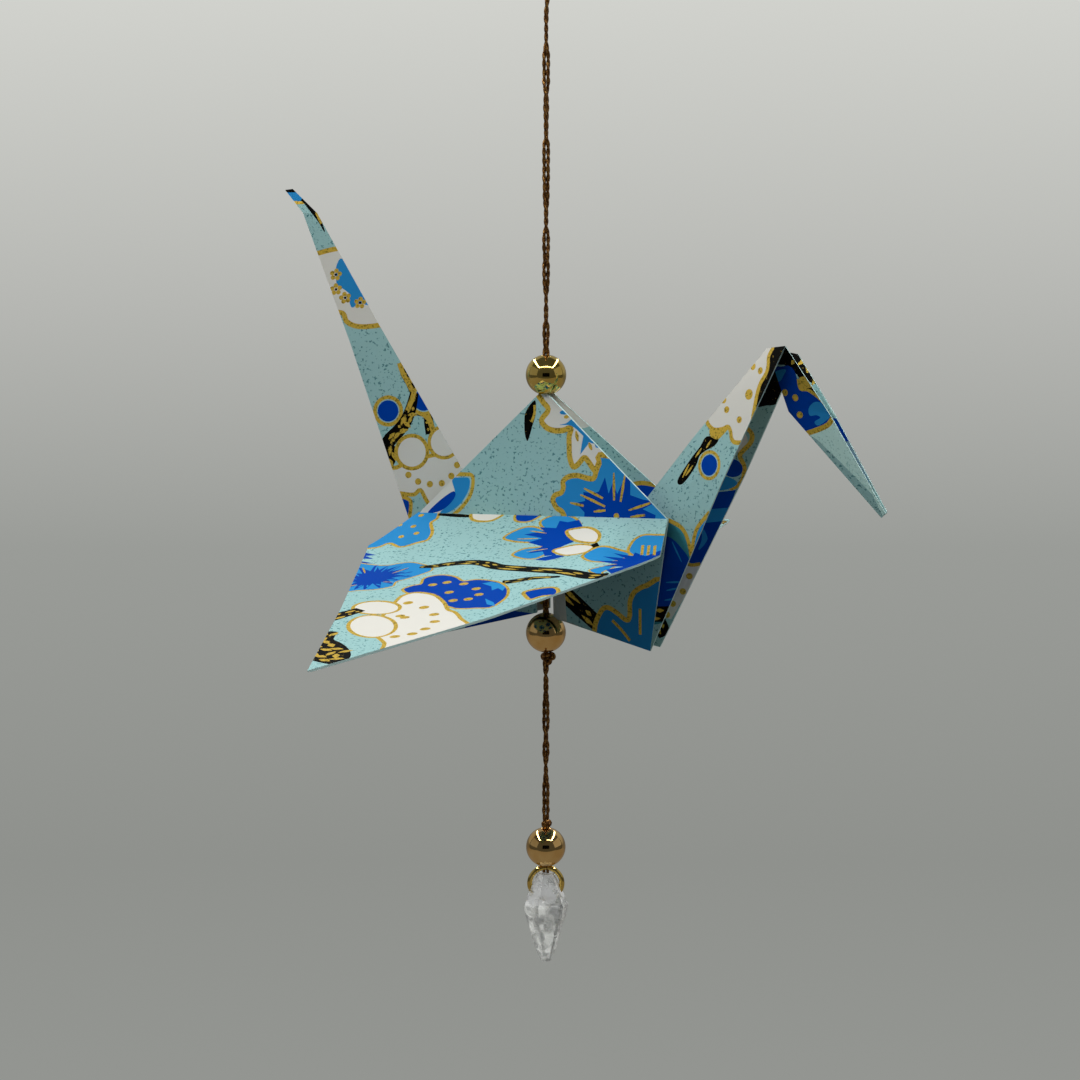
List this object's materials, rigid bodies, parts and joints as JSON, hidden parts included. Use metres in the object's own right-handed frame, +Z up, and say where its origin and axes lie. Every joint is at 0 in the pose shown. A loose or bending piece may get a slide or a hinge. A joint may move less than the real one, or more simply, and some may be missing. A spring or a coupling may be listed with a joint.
{
  "type": "hanging origami crane",
  "caption": "Folded paper crane with spread wings, raised tail and bent neck, strung on a doubled cord between beads, with a ring and a crystal point hanging below; hangs from the cord's loop.",
  "frame": {"origin": "inside top of the hanging loop, where a hook or a branch carries the ornament", "axes": "+X the way the crane faces, tail to head; +Y the crane's left wing; +Z up along the cord"},
  "size_m": [0.0925, 0.1322, 0.1664],
  "materials": {
    "printed_paper": "printed patterned paper, aqua ground with blue, white, black and gold",
    "metallic_cord": "twisted metallic thread, gold over brown",
    "gold_bead": "polished gold plate",
    "gold_wire": "polished gold plate",
    "clear_crystal": "rough clear crystal"
  },
  "bodies": {
    "root": {"paper_crane": "printed_paper", "cord": "metallic_cord", "top_bead": "gold_bead", "lower_bead": "gold_bead", "bottom_bead": "gold_bead", "ring": "gold_wire", "crystal_point": "clear_crystal"}
  },
  "joints": []
}
